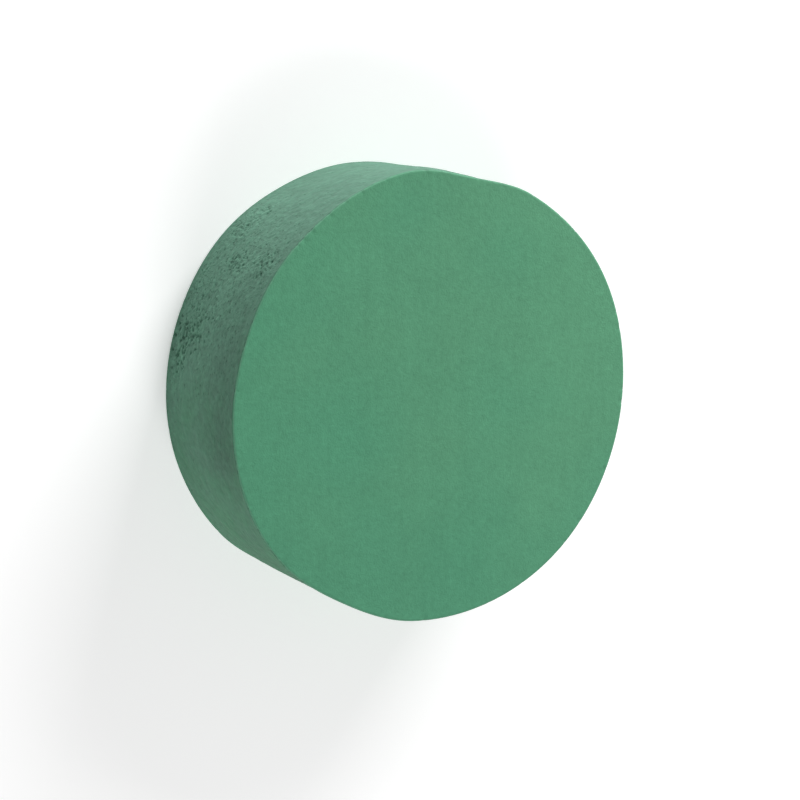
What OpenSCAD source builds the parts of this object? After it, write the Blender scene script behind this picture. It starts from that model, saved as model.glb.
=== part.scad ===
// Round wet floral foam: one disc of rigid open-cell foam, moulded round and sawn to thickness.
// Millimetres. The disc lies on one sawn face at z = 0, centred on the Z axis, with +Z up through it.

/* [Disc] */
// Diameter across the moulded rim
disc_d = 127; // [80:1:160]
// Thickness from one sawn face to the other
disc_t = 45; // [30:1:60]

/* [Corners] */
// Radius that handling wears onto the two crumbly corners
corner_r = 0.6; // [0.3:0.1:2]

/* [Colour] */
// Green of the dry foam
foam_colour = "#579171"; // ["#579171", "#4b6b5b", "#7daa96"]

/* [Hidden] */

disc_r = disc_d / 2;
rim_facets = 180;
corner_facets = 32;

// Half of the disc's section, in the XY plane: X is the radius and Y is the height.
module disc_section() {
    square([disc_r - corner_r, disc_t]);
    translate([0, corner_r])
        square([disc_r, disc_t - 2 * corner_r]);
    for (height = [corner_r, disc_t - corner_r])
        translate([disc_r - corner_r, height])
            circle(r = corner_r, $fn = corner_facets);
}

// The whole object: two flat sawn faces, a plain round rim between them, and eased corners.
module foam_disc() {
    color(foam_colour)
        rotate_extrude($fn = rim_facets)
            disc_section();
}

foam_disc();
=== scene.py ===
"""Round wet floral foam: one disc of rigid open-cell foam, moulded round and sawn to thickness.

Run as a script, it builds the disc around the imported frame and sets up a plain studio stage.
Metres throughout. The disc lies on one sawn face, with +Z up through it.
"""

import random
from math import atan2, cos, exp, hypot, pi, radians, sin, tau

import bpy
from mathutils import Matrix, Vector, kdtree, noise


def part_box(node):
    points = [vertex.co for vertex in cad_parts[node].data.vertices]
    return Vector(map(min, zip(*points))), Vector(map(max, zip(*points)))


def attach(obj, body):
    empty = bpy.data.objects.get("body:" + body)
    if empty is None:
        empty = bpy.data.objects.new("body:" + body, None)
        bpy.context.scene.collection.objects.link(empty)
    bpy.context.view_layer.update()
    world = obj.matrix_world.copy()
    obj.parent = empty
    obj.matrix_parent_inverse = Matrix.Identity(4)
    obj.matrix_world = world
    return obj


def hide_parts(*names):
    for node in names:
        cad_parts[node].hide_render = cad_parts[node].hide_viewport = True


bl_info = {
    "name": "Floral foam disc",
    "version": (1, 0, 0),
    "blender": (4, 5, 0),
    "location": "3D View > Sidebar > Foam",
    "description": "Builds a round wet floral foam disc and a plain studio stage",
    "category": "Object",
}

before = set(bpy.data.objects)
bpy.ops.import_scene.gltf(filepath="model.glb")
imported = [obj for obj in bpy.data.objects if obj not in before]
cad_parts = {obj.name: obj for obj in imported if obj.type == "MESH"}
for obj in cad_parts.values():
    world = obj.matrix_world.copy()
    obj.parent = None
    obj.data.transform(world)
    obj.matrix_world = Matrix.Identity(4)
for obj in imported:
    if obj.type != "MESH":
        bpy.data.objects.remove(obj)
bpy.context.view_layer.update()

MM = 0.001
DISC_LOW, DISC_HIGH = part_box("foam_disc")
DISC_RADIUS = (DISC_HIGH.x - DISC_LOW.x) / 2
DISC_BASE = DISC_LOW.z
DISC_TOP = DISC_HIGH.z
DISC_THICKNESS = DISC_TOP - DISC_BASE
# The blank starts this much too big round the rim, because the skin's lumps are pressed in.
PROUD = 0.15 * MM
# Width of the strip of faces that is inset beside each corner.
STRIP = 0.4 * MM
# Width over which the skin's lumps and the saw's ripples fade out towards a corner.
FADE = 1.5 * MM

# Low lumps, dimples and leathery grain of the moulded skin, and how deep they go together.
LUMP_SIZE = 13 * MM
DIMPLE_SIZE = 3.4 * MM
DIMPLE_SHIFT = Vector((5, 2, 8))
LEATHER_SIZE = 1.1 * MM
LEATHER_SHIFT = Vector((3, 9, 1))
SKIN_WAVE_DEPTH = 0.45 * MM
# Saw ripples, as long as this in millimetres along X, Y and Z, and the broad swell under them.
RIPPLE_SIZES = (4, 40, 5)
SWELL_SIZE = 17 * MM
SAW_WAVE_DEPTH = 0.10 * MM
# Size of the ragged steps in a pit's edge, and depth of the deepest nick in a corner.
RAGGED_SIZE = 0.45 * MM
NICK_DEPTH = 0.18 * MM
# Room round a pit whose mesh is made finer too. A nick has none.
PIT_MARGIN = 0.1 * MM
# Cells of the pinholes that only the skin's material shows.
PINHOLE_CELL = 0.9 * MM

# Patches of the rim where gas broke through the moulded skin.
# Angle round the rim in degrees, height as a share of the thickness, half width and half height
# in millimetres, how many pits, and how big they are against a middling pit.
PIT_PATCHES = (
    (141, 0.76, 4, 10, 70, 1.0),
    (142, 0.42, 4, 8, 60, 1.1),
    (131, 0.20, 9, 7, 80, 1.0),
    (163, 0.24, 5, 8, 70, 1.5),
    (158, 0.34, 8, 8, 60, 1.1),
    (170, 0.15, 7, 6, 40, 1.2),
    (150, 0.12, 12, 5, 40, 1.0),
    (151, 0.45, 22, 20, 50, 0.8),
    (62, 0.60, 10, 9, 80, 1.1),
    (18, 0.30, 12, 8, 90, 1.3),
    (322, 0.66, 10, 9, 90, 1.2),
    (284, 0.24, 10, 7, 60, 1.0),
)
LONE_PITS = 80
CORNER_NICKS = 50

# Places where shade is painted onto the skin as a darker patch.
# Angle in degrees, height as a share of the thickness, reach in millimetres and how dark.
SHADE_PATCHES = (
    (176, 0.98, 34, 0.18),
    (186, 0.82, 21, 0.25),
    (234, 0.60, 34, 0.20),
    (40, 0.10, 34, 0.10),
    (300, 0.85, 28, 0.10),
)

# Places where handling has pushed the foam out of round.
# Angle in degrees, height as a share of the thickness, push outwards and reach in millimetres.
DENTS = (
    (240, 1.0, -1.0, 25),
    (80, 1.0, -1.5, 20),
    (100, 1.0, 1.0, 35),
    (210, 1.0, 0.5, 35),
    (160, 1.0, -0.5, 25),
    (30, 1.0, 0.5, 35),
    (310, 1.0, 0.5, 45),
    (115, 0.0, -0.5, 25),
    (160, 0.0, -0.5, 45),
    (240, 0.0, -1.0, 20),
    (245, 0.5, -1.0, 25),
)


class FoamShape(bpy.types.PropertyGroup):
    corner_radius: bpy.props.FloatProperty(
        name="Corner radius",
        description="Radius that handling wears onto the two crumbly corners",
        default=0.6 * MM, min=0.2 * MM, max=2 * MM, unit="LENGTH", precision=5,
    )
    grid: bpy.props.FloatProperty(
        name="Grid",
        description="Size of the mesh cells round the rim, before the pits' places are made finer",
        default=0.6 * MM, min=0.5 * MM, max=4 * MM, unit="LENGTH", precision=5,
    )
    pit_radius: bpy.props.FloatProperty(
        name="Pit radius",
        description="Radius of a middling pit in the moulded skin",
        default=0.34 * MM, min=0.1 * MM, max=2 * MM, unit="LENGTH", precision=5,
    )
    pit_depth: bpy.props.FloatProperty(
        name="Pit depth",
        description="Depth of the deepest pit",
        default=0.5 * MM, min=0.0, max=3 * MM, unit="LENGTH", precision=5,
    )
    seed: bpy.props.IntProperty(
        name="Seed",
        description="Number that the scatter of pits and nicks starts from",
        default=7, min=0,
    )


class FoamColours(bpy.types.PropertyGroup):
    sawn: bpy.props.FloatVectorProperty(
        name="Sawn foam", description="Green of the two sawn faces",
        default=(0.112, 0.336, 0.192), size=3, min=0.0, max=1.0, subtype="COLOR",
    )
    sawn_cool: bpy.props.FloatVectorProperty(
        name="Sawn foam, cool", description="Bluer green of the clouds in the sawn faces",
        default=(0.094, 0.326, 0.190), size=3, min=0.0, max=1.0, subtype="COLOR",
    )
    skin: bpy.props.FloatVectorProperty(
        name="Moulded skin", description="Grey green of the skin round the rim",
        default=(0.105, 0.246, 0.172), size=3, min=0.0, max=1.0, subtype="COLOR",
    )
    skin_green: bpy.props.FloatVectorProperty(
        name="Thin skin", description="Stronger green where the skin is thin",
        default=(0.068, 0.246, 0.130), size=3, min=0.0, max=1.0, subtype="COLOR",
    )
    # Painted shade: the dark at the bottom of a pit and in a pinhole.
    pit: bpy.props.FloatVectorProperty(
        name="Pit", description="Dark green at the bottom of a pit",
        default=(0.030, 0.095, 0.058), size=3, min=0.0, max=1.0, subtype="COLOR",
    )
    # Pale dust along the worn corners, lightened further as a painted highlight along the corners.
    dust_and_highlight: bpy.props.FloatVectorProperty(
        name="Dust", description="Pale foam dust on the worn corners",
        default=(0.165, 0.380, 0.255), size=3, min=0.0, max=1.0, subtype="COLOR",
    )


class FoamStage(bpy.types.PropertyGroup):
    floor_colour: bpy.props.FloatVectorProperty(
        name="Floor", description="Colour of the plain floor",
        default=(0.86, 0.86, 0.86), size=3, min=0.0, max=1.0, subtype="COLOR",
    )
    floor_glow: bpy.props.FloatProperty(
        name="Floor glow", description="Light that the floor gives, which thins the shadow",
        default=0.36, min=0.0, max=2.0,
    )
    far_glow: bpy.props.FloatProperty(
        name="Far glow", description="Light that the floor gives far from the lamps",
        default=0.82, min=0.0, max=2.0,
    )
    swing: bpy.props.FloatProperty(
        name="Swing", description="How far the camera swings to the side of the upper face",
        default=radians(30.12), subtype="ANGLE",
    )
    rise: bpy.props.FloatProperty(
        name="Rise", description="How far the camera rises above the middle of the upper face",
        default=radians(10.9), subtype="ANGLE",
    )
    distance: bpy.props.FloatProperty(
        name="Distance", description="Distance from the camera to the upper face",
        default=0.5354, min=0.1, max=5.0, unit="LENGTH",
    )
    aim_aside: bpy.props.FloatProperty(
        name="Aim aside", description="How far to the left of the upper face's middle the camera aims",
        default=11.1 * MM, unit="LENGTH", precision=4,
    )
    lens: bpy.props.FloatProperty(
        name="Lens", description="Focal length in millimetres on a 36 mm sensor",
        default=86.4, min=10.0, max=300.0,
    )


class Wire:
    """One output socket of a node tree, so that shader maths reads as an expression."""

    def __init__(self, tree, socket=None):
        self.tree = tree
        self.socket = socket

    def node(self, kind, settings=None, sockets=None, output=0):
        """Adds a node, makes its settings, feeds its sockets, and returns the output asked for."""
        made = self.tree.nodes.new(kind)
        for name, value in (settings or {}).items():
            setattr(made, name, value)
        for name, value in (sockets or {}).items():
            self.feed(made.inputs[name], value)
        return Wire(self.tree, made.outputs[output])

    def feed(self, socket, value):
        if isinstance(value, Wire):
            self.tree.links.new(value.socket, socket)
        elif socket.type == "RGBA" and len(value) == 3:
            socket.default_value = (*value, 1.0)
        else:
            socket.default_value = value

    def maths(self, operation, *values):
        settings = {"operation": operation}
        return self.node("ShaderNodeMath", settings, dict(enumerate(values)))

    def __add__(self, other):
        return self.maths("ADD", self, other)

    def __sub__(self, other):
        return self.maths("SUBTRACT", self, other)

    def __mul__(self, other):
        return self.maths("MULTIPLY", self, other)

    __radd__ = __add__
    __rmul__ = __mul__

    def ramp(self, low, high):
        """0 at low and 1 at high, eased between them."""
        settings = {"interpolation_type": "SMOOTHSTEP"}
        sockets = {"Value": self, "From Min": low, "From Max": high}
        return self.node("ShaderNodeMapRange", settings, sockets)


def mix_colours(mask, low, high):
    """Low where the mask is 0 and high where it is 1."""
    settings = {"data_type": "RGBA"}
    return mask.node("ShaderNodeMix", settings, {0: mask, 6: low, 7: high}, output=2)


def tint(colour, amount):
    """A colour made lighter or darker by an amount, 1 leaving it as it is."""
    settings = {"operation": "SCALE"}
    return amount.node("ShaderNodeVectorMath", settings, {0: colour, 3: amount})


def grain(place, size, detail=2.0, roughness=0.5):
    """Soft noise from 0 to 1, with blobs of about the given size in metres."""
    settings = {"noise_dimensions": "3D", "normalize": True}
    sockets = {"Vector": place, "Scale": 1 / size, "Detail": detail, "Roughness": roughness}
    return place.node("ShaderNodeTexNoise", settings, sockets)


def cells(place, size, output="Distance"):
    """Distance from the nearest cell middle, in shares of the cell size, or the cell's own colour."""
    settings = {"voronoi_dimensions": "3D", "feature": "F1"}
    return place.node("ShaderNodeTexVoronoi", settings, {"Vector": place, "Scale": 1 / size}, output)


def axis(place, name):
    """The place's distance along X, Y or Z."""
    return place.node("ShaderNodeSeparateXYZ", None, {0: place}, name)


def stretched(place, scale):
    """The place with each of its axes scaled, for a pattern that runs one way."""
    return place.node("ShaderNodeMapping", None, {"Vector": place, "Scale": scale})


def attribute(start, name):
    """One number that is kept for each point of the mesh."""
    return start.node("ShaderNodeAttribute", {"attribute_name": name}, output="Fac")


def new_material(name):
    """A material with an empty tree, its foam shader, and the place on the piece."""
    material = bpy.data.materials.new(name)
    material.use_nodes = True
    tree = material.node_tree
    tree.nodes.clear()
    start = Wire(tree)
    shader = tree.nodes.new("ShaderNodeBsdfPrincipled")
    output = tree.nodes.new("ShaderNodeOutputMaterial")
    tree.links.new(shader.outputs[0], output.inputs[0])
    place = start.node("ShaderNodeTexCoord", output="Object")
    return material, shader, place


def set_foam_finish(shader, sheen):
    """Dry and dusty: hardly any gloss, and a pale bloom at grazing angles."""
    shader.inputs["Specular IOR Level"].default_value = 0.18
    shader.inputs["Sheen Weight"].default_value = sheen
    shader.inputs["Sheen Roughness"].default_value = 0.55
    shader.inputs["Sheen Tint"].default_value = (0.80, 0.95, 0.88, 1.0)


def bump(height, depth, strength):
    """A normal from a height of 0 to 1 that stands for a depth in metres."""
    sockets = {"Height": height, "Distance": depth, "Strength": strength}
    return height.node("ShaderNodeBump", None, sockets)


def sawn_foam(colours):
    """The fine even cells that the saw opened, with faint clouds and saw marks."""
    material, shader, place = new_material("sawn_foam")
    fine = grain(place, 0.6 * MM, 1.0)
    coarse = grain(place, 1.5 * MM, 1.0)
    mottle = grain(place, 3.6 * MM, 1.0)
    clouds = grain(place, 20 * MM)
    cool = grain(place, 34 * MM, 1.0)
    marks = grain(stretched(place, (1.0, 0.04, 1.0)), 2.4 * MM, 1.0)
    aside = axis(place, "X")
    ahead = axis(place, "Y")
    opened = cells(place, 0.45 * MM)
    corner = attribute(place, "corner")

    light = 0.655 + 0.13 * fine + 0.20 * coarse + 0.12 * mottle + 0.12 * clouds + 0.06 * marks
    # Painted light: the sawn faces are made lighter towards +X.
    light = light + 0.05 * aside.ramp(0.0, 50 * MM)
    shift = 0.4 * cool - 2.0 * (aside + ahead)
    base = mix_colours(shift.ramp(0.0, 0.40), colours.sawn, colours.sawn_cool)
    base = tint(base, light)
    # Pale dust and a painted highlight along the corners.
    worn = (corner + 0.5 * fine).ramp(0.55, 1.25)
    base = mix_colours(0.7 * worn, base, colours.dust_and_highlight)
    place.feed(shader.inputs["Base Color"], base)
    place.feed(shader.inputs["Roughness"], 0.90 + 0.08 * fine)
    relief = opened * 0.4 + fine * 0.4 + coarse * 0.8 + marks * 0.3
    place.feed(shader.inputs["Normal"], bump(relief, 0.16 * MM, 0.6))
    set_foam_finish(shader, 0.05)
    return material


def moulded_skin(colours):
    """The greyer skin that formed against the mould: grained and blotched, with painted shade in its
    pits, pinholes and darker patches and towards the upper face, and pale dust with a painted
    highlight along its corners.
    """
    material, shader, place = new_material("moulded_skin")
    blotches = grain(place, 12 * MM, 3.0, 0.55)
    patches = grain(place, 4.5 * MM)
    peel = grain(place, 1.9 * MM)
    fine = grain(place, 0.9 * MM, 1.0)
    speck = grain(place, 0.45 * MM, 1.0)
    ahead = axis(place, "Y")
    height = axis(place, "Z")
    pits = attribute(place, "pits")
    broken = attribute(place, "broken")
    # Painted shade: the darker patches on the skin.
    stain = attribute(place, "stain")
    corner = attribute(place, "corner")

    # Painted shade and painted bounce light: the skin is made darker towards the upper face and
    # lighter towards the base.
    light = 0.85 + 0.20 * patches + 0.14 * blotches - 2.4 * height - stain + 0.12 * broken
    light = light + (speck - 0.5) * (0.06 + 0.16 * broken)
    light = light + (fine - 0.5) * (0.12 + 0.36 * broken)
    light = light + (peel - 0.5) * (0.50 + 0.40 * broken)
    thin = (0.5 * blotches - 5.0 * ahead).ramp(0.10, 0.62)
    base = mix_colours(thin, colours.skin, colours.skin_green)
    base = tint(base, light)
    # Painted shade in the pinholes, which only the material shows.
    own_colour = cells(place, PINHOLE_CELL, "Color")
    chance = place.node("ShaderNodeSeparateColor", None, {0: own_colour})
    pinholes = (cells(place, PINHOLE_CELL) + 0.5 * (fine - 0.5)).ramp(0.46, 0.14)
    pinholes = pinholes * (chance + 0.55 * broken).ramp(0.90, 1.05)
    base = mix_colours(0.40 * pinholes, base, colours.pit)
    # Painted shade in the pressed pits.
    base = mix_colours(0.60 * pits.ramp(0.0, 0.9), base, colours.pit)
    # Pale dust and a painted highlight along the corners.
    worn = (corner + 0.5 * fine).ramp(0.62, 1.3)
    base = mix_colours(0.5 * worn, base, colours.dust_and_highlight)
    place.feed(shader.inputs["Base Color"], base)
    place.feed(shader.inputs["Roughness"], 0.78 + 0.16 * peel)
    relief = peel * (0.9 + 0.3 * broken) + fine * (0.2 + 0.4 * broken) + patches * 0.9
    relief = relief - pinholes * 0.5
    place.feed(shader.inputs["Normal"], bump(relief, 0.36 * MM, 0.8))
    set_foam_finish(shader, 0.06)
    return material


def deselect_all():
    if bpy.context.object and bpy.context.object.mode != "OBJECT":
        bpy.ops.object.mode_set(mode="OBJECT")
    bpy.ops.object.select_all(action="DESELECT")


def select_where(kind, parts, wanted):
    """In edit mode, selects the points, edges or faces of the active piece that a test picks."""
    bpy.ops.object.mode_set(mode="EDIT")
    bpy.ops.mesh.select_mode(type=kind)
    bpy.ops.mesh.select_all(action="DESELECT")
    bpy.ops.object.mode_set(mode="OBJECT")
    for part in getattr(bpy.context.object.data, parts):
        part.select = wanted(part)
    bpy.ops.object.mode_set(mode="EDIT")


def select_faces(wanted):
    """Selects the faces that a test picks by their middle, normal or number."""
    select_where("FACE", "polygons", wanted)


def select_edges(wanted):
    """Selects the edges that a test picks by their two ends."""
    points = bpy.context.object.data.vertices
    select_where("EDGE", "edges", lambda edge: wanted(*(points[end].co for end in edge.vertices)))


def on_rim(angle, share):
    """The point on the rim at an angle in degrees and a share of the thickness."""
    turn = radians(angle)
    height = DISC_BASE + share * DISC_THICKNESS
    return Vector((DISC_RADIUS * cos(turn), DISC_RADIUS * sin(turn), height))


def add_blank(shape):
    """The moulded blank: a closed disc with eased corners, a fine even grid round its rim,
    and a wider grid on its two faces."""
    segments = 8 * round(tau * DISC_RADIUS / shape.grid / 8)
    rows = round(DISC_THICKNESS / shape.grid)
    bpy.ops.mesh.primitive_cylinder_add(
        vertices=segments, radius=DISC_RADIUS + PROUD, depth=DISC_THICKNESS,
        location=(0, 0, DISC_BASE + DISC_THICKNESS / 2),
    )
    piece = bpy.context.object
    piece.name = piece.data.name = "foam_body"
    bpy.ops.object.transform_apply(location=True, rotation=False, scale=False)

    select_edges(lambda first, second: abs(first.z - second.z) < shape.corner_radius)
    bpy.ops.mesh.bevel(offset=shape.corner_radius, segments=3, profile=0.5)
    select_faces(lambda face: abs(face.normal.z) < 0.01)
    bpy.ops.mesh.inset(thickness=STRIP, depth=0, use_boundary=True)
    tall = DISC_THICKNESS / 2
    select_edges(lambda first, second: abs(first.z - second.z) > tall)
    bpy.ops.mesh.subdivide(number_cuts=rows - 1)
    for height in (DISC_BASE, DISC_TOP):
        fill_face(shape, height, segments)
    bpy.ops.mesh.select_all(action="SELECT")
    bpy.ops.mesh.normals_make_consistent(inside=False)
    bpy.ops.object.mode_set(mode="OBJECT")
    return piece


def fill_face(shape, height, segments):
    """Replaces the one big face at a height by a ring of triangles round a square grid."""
    hole_radius = DISC_RADIUS + PROUD - shape.corner_radius - STRIP
    ring_radius = hole_radius - 2 * shape.grid
    spare = 0.1 * MM

    def is_cap(face):
        return len(face.vertices) > 4 and abs(face.center.z - height) < shape.corner_radius

    def is_inside(first, second, radius):
        return all(
            abs(end.z - height) < 0.001 * MM and hypot(end.x, end.y) < radius + spare
            for end in (first, second)
        )

    select_faces(is_cap)
    bpy.ops.mesh.inset(thickness=STRIP, depth=0)
    bpy.ops.mesh.delete(type="ONLY_FACE")
    bpy.ops.mesh.primitive_circle_add(
        vertices=segments // 2, radius=ring_radius, location=(0, 0, height),
    )
    select_edges(lambda first, second: is_inside(first, second, hole_radius))
    bpy.ops.mesh.fill(use_beauty=True)
    select_edges(lambda first, second: is_inside(first, second, ring_radius))
    bpy.ops.mesh.fill_grid(span=segments // 8)


def scatter_pits(shape):
    """Every pit: its middle, radius, depth share, stretch and lean."""
    scatter = random.Random(shape.seed)
    pits = []

    def add(angle, share, size):
        depth = min(1.0, scatter.uniform(0.35, 0.75) * size)
        stretch, lean = scatter.uniform(1.0, 1.5), scatter.uniform(0, pi)
        pits.append((on_rim(angle, share), shape.pit_radius * size, depth, stretch, lean))

    for angle, share, half_width, half_height, count, size in PIT_PATCHES:
        for _ in range(count):
            across = scatter.gauss(0, 0.5) * half_width * MM / DISC_RADIUS
            up = scatter.gauss(0, 0.5) * half_height * MM / DISC_THICKNESS
            place = min(0.97, max(0.03, share + up))
            add(angle + across * 180 / pi, place, size * scatter.choice((0.7, 0.8, 1.0, 1.0, 1.4)))
    for _ in range(LONE_PITS):
        add(scatter.uniform(0, 360), scatter.uniform(0.05, 0.95), scatter.uniform(0.5, 0.9))
    return pits


def scatter_nicks(shape):
    """Every nick in the two corners, written as a pit is."""
    scatter = random.Random(shape.seed + 1)
    nicks = []
    for share in (0.0, 1.0):
        for _ in range(CORNER_NICKS):
            size = shape.corner_radius * scatter.uniform(0.6, 1.2)
            depth, stretch = scatter.uniform(0.3, 1.0), scatter.uniform(1.0, 1.8)
            nicks.append((on_rim(scatter.uniform(0, 360), share), size, depth, stretch, 0.0))
    return nicks


def refine_round(piece, pits, margin):
    """Makes the grid twice as fine wherever a pit or nick will be pressed in."""
    mesh = piece.data
    middles = kdtree.KDTree(len(mesh.polygons))
    for face in mesh.polygons:
        middles.insert(face.center, face.index)
    middles.balance()
    near = set()
    for middle, radius, _depth, stretch, _lean in pits:
        near.update(found[1] for found in middles.find_range(middle, radius * stretch + margin))
    select_faces(lambda face: face.index in near)
    bpy.ops.mesh.subdivide(number_cuts=1, ngon=False)
    bpy.ops.object.mode_set(mode="OBJECT")


def eased(share):
    """0 below 0 and 1 above 1, with a smooth rise between them."""
    share = min(1.0, max(0.0, share))
    return share * share * (3 - 2 * share)


def pit_weights(mesh, pits):
    """How deep each point is pressed, as a share of the deepest pit."""
    points = kdtree.KDTree(len(mesh.vertices))
    for vertex in mesh.vertices:
        points.insert(vertex.co, vertex.index)
    points.balance()
    weights = [0.0] * len(mesh.vertices)
    for middle, radius, depth, stretch, lean in pits:
        turn = atan2(middle.y, middle.x)
        along = Vector((-sin(turn), cos(turn), 0))
        for place, index, _ in points.find_range(middle, radius * stretch * 1.3):
            offset = place - middle
            right, up = offset.dot(along), offset.z
            long = (right * cos(lean) + up * sin(lean)) / stretch
            short = (up * cos(lean) - right * sin(lean)) * stretch
            ragged = 1 + 0.5 * noise.noise(place / RAGGED_SIZE)
            share = hypot(long, short) / radius * ragged
            weight = depth * eased((1.2 - share) / 1.05)
            weights[index] = max(weights[index], weight)
    return weights


def press(piece, name, weights, depth):
    """Presses the surface in along its normals, as deep as each point's weight says."""
    group = piece.vertex_groups.new(name=name)
    for index, weight in enumerate(weights):
        if weight > 0:
            group.add([index], weight, "REPLACE")
    modifier = piece.modifiers.new(name, "DISPLACE")
    modifier.vertex_group = name
    modifier.mid_level = 0.0
    modifier.strength = -depth
    bpy.ops.object.modifier_apply(modifier=name)


def skin_share(place):
    """1 on the rim and 0 on the sawn faces, easing across the corners."""
    low = min(place.z - DISC_BASE, DISC_TOP - place.z)
    return eased(low / FADE)


def broken_share(place):
    """How broken the moulded skin is at a point: near 1 in the middle of a pitted patch."""
    turn = atan2(place.y, place.x)
    share = 0.0
    for angle, height, half_width, half_height, _count, _size in PIT_PATCHES:
        across = (turn - radians(angle) + pi) % tau - pi
        aside = across * DISC_RADIUS / (half_width * MM)
        above = (place.z - DISC_BASE - height * DISC_THICKNESS) / (half_height * MM)
        share = max(share, exp(-0.8 * (aside * aside + above * above)))
    return share * skin_share(place)


def shade_share(place):
    """How much the painted shade patches darken the skin at a point."""
    return max(
        dark * eased(1 - (place - on_rim(angle, height)).length / (reach * MM))
        for angle, height, reach, dark in SHADE_PATCHES
    )


def skin_waves(mesh, broken):
    """Low lumps and a leathery grain of the moulded skin, rougher where it is broken."""
    weights = []
    for vertex, rough in zip(mesh.vertices, broken):
        place = vertex.co
        lumps = noise.noise(place / LUMP_SIZE)
        dimples = noise.noise(place / DIMPLE_SIZE + DIMPLE_SHIFT)
        leather = noise.noise(place / LEATHER_SIZE + LEATHER_SHIFT)
        weight = 0.5 + 0.30 * lumps + 0.16 * dimples + (0.12 + 0.24 * rough) * leather
        weights.append(max(0.0, min(1.0, weight)) * skin_share(place))
    return weights


def saw_waves(mesh):
    """Faint ripples that the saw left across the two faces."""
    across, along, through = RIPPLE_SIZES
    weights = []
    for vertex in mesh.vertices:
        place = vertex.co
        ripple = noise.noise(Vector((place.x / across, place.y / along, place.z / through)) / MM)
        swell = noise.noise(place / SWELL_SIZE)
        weight = 0.5 + 0.35 * ripple + 0.35 * swell
        share = 1 - skin_share(place)
        inside = eased((DISC_RADIUS - hypot(place.x, place.y)) / FADE)
        weights.append(max(0.0, min(1.0, weight)) * share * inside)
    return weights


def push_dents(piece):
    """Pushes each worn place in or out, with a soft reach round it."""
    mesh = piece.data
    for angle, share, push, reach in DENTS:
        middle = on_rim(angle, share)
        nearest = min(mesh.vertices, key=lambda point: (point.co - middle).length).index
        select_where("VERT", "vertices", lambda point: point.index == nearest)
        turn = radians(angle)
        bpy.ops.transform.translate(
            value=(push * MM * cos(turn), push * MM * sin(turn), 0),
            use_proportional_edit=True, proportional_edit_falloff="SMOOTH",
            proportional_size=reach * MM,
        )
        bpy.ops.object.mode_set(mode="OBJECT")


def store(mesh, name, values):
    """Keeps one number for each point, for the materials to read."""
    layer = mesh.attributes.new(name, "FLOAT", "POINT")
    layer.data.foreach_set("value", values)


def corner_share(place, corner_radius):
    """1 along the middle of a worn corner, and 0 off it."""
    inwards = DISC_RADIUS - hypot(place.x, place.y)
    low = min(place.z - DISC_BASE, DISC_TOP - place.z)
    return eased(1 - abs(inwards - low) / corner_radius) * eased(2 - (inwards + low) / corner_radius)


class FOAM_OT_disc(bpy.types.Operator):
    """Model the foam disc, with its pitted skin, worn corners and sawn faces"""

    bl_idname = "foam.disc"
    bl_label = "Foam disc"

    def execute(self, context):
        shape, colours = context.scene.foam_shape, context.scene.foam_colours
        deselect_all()
        piece = add_blank(shape)
        mesh = piece.data
        pits, nicks = scatter_pits(shape), scatter_nicks(shape)
        refine_round(piece, pits, PIT_MARGIN)
        refine_round(piece, nicks, 0.0)
        pressed, nicked = pit_weights(mesh, pits), pit_weights(mesh, nicks)
        store(mesh, "pits", pressed)
        broken = [broken_share(vertex.co) for vertex in mesh.vertices]
        store(mesh, "broken", broken)
        # Painted shade: darker patches that the skin's material reads.
        store(mesh, "stain", [shade_share(vertex.co) for vertex in mesh.vertices])
        corners = [corner_share(vertex.co, shape.corner_radius) for vertex in mesh.vertices]
        store(mesh, "corner", corners)
        waves, ripples = skin_waves(mesh, broken), saw_waves(mesh)
        for name, values, depth in (
            ("skin_waves", waves, SKIN_WAVE_DEPTH),
            ("saw_waves", ripples, SAW_WAVE_DEPTH),
            ("pressed_pits", pressed, shape.pit_depth),
            ("pressed_nicks", nicked, NICK_DEPTH),
        ):
            press(piece, name, values, depth)
        push_dents(piece)

        mesh.materials.append(sawn_foam(colours))
        mesh.materials.append(moulded_skin(colours))
        skin_edge = 0.45 * shape.corner_radius
        for face in mesh.polygons:
            low = min(face.center.z - DISC_BASE, DISC_TOP - face.center.z)
            face.material_index = 1 if low > skin_edge else 0
        bpy.ops.object.shade_smooth()
        piece.vertex_groups.clear()
        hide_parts("foam_disc")
        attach(piece, "root")
        return {"FINISHED"}


class FOAM_OT_stage(bpy.types.Operator):
    """Set up the plain pale floor, the soft lights and the camera"""

    bl_idname = "foam.stage"
    bl_label = "Studio stage"

    def execute(self, context):
        stage = context.scene.foam_stage
        deselect_all()
        add_floor(stage)
        add_lights(context.scene)
        add_camera(context.scene, stage)
        return {"FINISHED"}


# Width of the floor in metres, how far it lies under the disc, and where its glow rises.
FLOOR_WIDTH = 40
FLOOR_GAP = 0.05 * MM
GLOW_STARTS = 0.2
GLOW_ENDS = 1.3
# How bright the studio's surroundings are as a light, and as they are seen past the floor.
AMBIENT = 0.21
BACKDROP = 1.0
# Name, angle round the disc and above it in degrees, distance in metres and power in watts.
LIGHTS = (
    ("key_light", 62, 20, 0.9, 9.4),
    ("fill_light", 270, 45, 1.3, 8.0),
)
# A soft box is this wide for each metre that it stands away.
LIGHT_WIDTH = 0.54
SENSOR_WIDTH = 36


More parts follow.
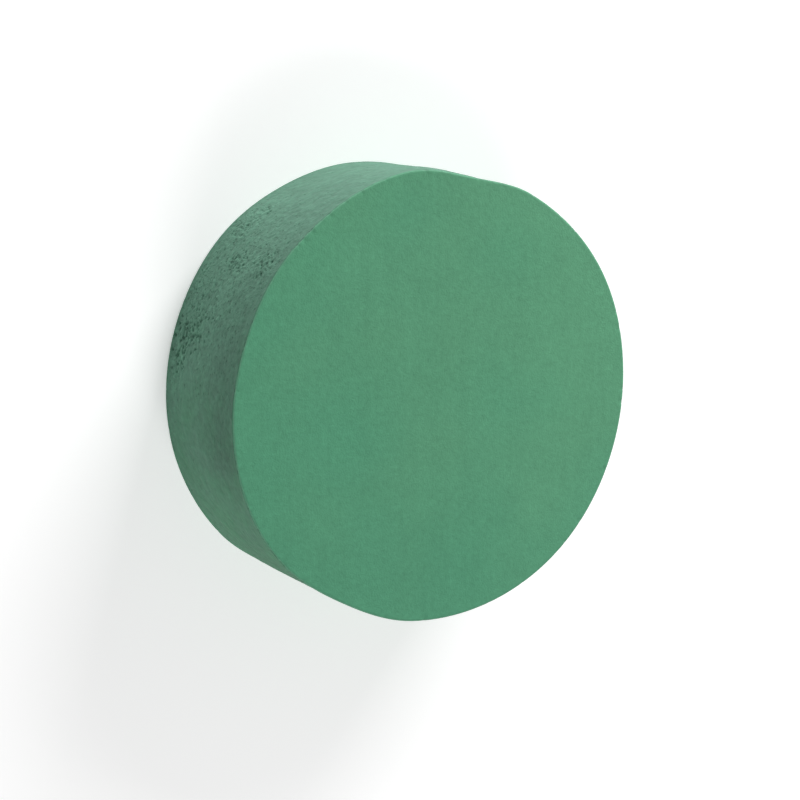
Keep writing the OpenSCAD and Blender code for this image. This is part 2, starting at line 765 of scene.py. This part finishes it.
def add_floor(stage):
    """A wide pale floor that glows a little, and more so further from the disc."""
    bpy.ops.mesh.primitive_plane_add(size=FLOOR_WIDTH, location=(0, 0, DISC_BASE - FLOOR_GAP))
    floor = bpy.context.object
    floor.name = "floor"
    material, shader, place = new_material("floor")
    shade = 0.985 + 0.03 * grain(place, 0.4)
    place.feed(shader.inputs["Base Color"], tint(stage.floor_colour, shade))
    shader.inputs["Roughness"].default_value = 0.9
    distance = place.node("ShaderNodeVectorMath", {"operation": "LENGTH"}, {0: place}, "Value")
    rise = distance.ramp(GLOW_STARTS, GLOW_ENDS)
    glow = stage.floor_glow + (stage.far_glow - stage.floor_glow) * rise
    place.feed(shader.inputs["Emission Color"], tint((1, 1, 1), glow))
    shader.inputs["Emission Strength"].default_value = 1.0
    floor.data.materials.append(material)


def add_light(name, azimuth, elevation, distance, power):
    """A square soft box that stands at an angle round and above the disc, and faces it."""
    turn, lift = radians(azimuth), radians(elevation)
    away = Vector((cos(lift) * cos(turn), cos(lift) * sin(turn), sin(lift)))
    middle = Vector((0, 0, DISC_TOP / 2))
    bpy.ops.object.light_add(type="AREA", location=middle + distance * away)
    light = bpy.context.object
    light.name = name
    light.rotation_euler = (-away).to_track_quat("-Z", "Y").to_euler()
    light.data.size = LIGHT_WIDTH * distance
    light.data.energy = power


def add_lights(scene):
    """The two soft boxes, and white surroundings that give less light than they show."""
    for light in LIGHTS:
        add_light(*light)
    world = bpy.data.worlds.new("studio")
    world.use_nodes = True
    background = world.node_tree.nodes["Background"]
    background.inputs["Color"].default_value = (1, 1, 1, 1)
    seen = Wire(world.node_tree).node("ShaderNodeLightPath")
    seen.feed(background.inputs["Strength"], AMBIENT + (BACKDROP - AMBIENT) * seen)
    scene.world = world
    scene.view_settings.view_transform = "Standard"


def add_camera(scene, stage):
    """The camera looks at the upper face from its side, with the disc's +Y up the picture."""
    bpy.ops.object.camera_add(rotation=(-stage.rise, -stage.swing, 0))
    camera = bpy.context.object
    camera.name = "camera"
    turn = camera.rotation_euler.to_matrix()
    right, back = turn.col[0], turn.col[2]
    camera.location = Vector((0, 0, DISC_TOP)) + back * stage.distance - right * stage.aim_aside
    camera.data.lens = stage.lens
    camera.data.sensor_width = SENSOR_WIDTH
    camera.data.clip_start = 0.01
    scene.camera = camera


class FOAM_PT_maker(bpy.types.Panel):
    """Lists the foam's sizes, colours and operators"""

    bl_label = "Foam disc"
    bl_idname = "FOAM_PT_maker"
    bl_space_type = "VIEW_3D"
    bl_region_type = "UI"
    bl_category = "Foam"

    def draw(self, context):
        for settings in (
            context.scene.foam_shape, context.scene.foam_colours, context.scene.foam_stage,
        ):
            box = self.layout.box()
            for name in settings.__annotations__:
                box.prop(settings, name)
        self.layout.operator(FOAM_OT_disc.bl_idname)
        self.layout.operator(FOAM_OT_stage.bl_idname)


CLASSES = (FoamShape, FoamColours, FoamStage, FOAM_OT_disc, FOAM_OT_stage, FOAM_PT_maker)


def register():
    for made in CLASSES:
        bpy.utils.register_class(made)
    bpy.types.Scene.foam_shape = bpy.props.PointerProperty(type=FoamShape)
    bpy.types.Scene.foam_colours = bpy.props.PointerProperty(type=FoamColours)
    bpy.types.Scene.foam_stage = bpy.props.PointerProperty(type=FoamStage)


def unregister():
    del bpy.types.Scene.foam_stage
    del bpy.types.Scene.foam_colours
    del bpy.types.Scene.foam_shape
    for made in reversed(CLASSES):
        bpy.utils.unregister_class(made)


def main():
    register()
    bpy.ops.foam.disc()
    bpy.ops.foam.stage()


if __name__ == "__main__":
    main()
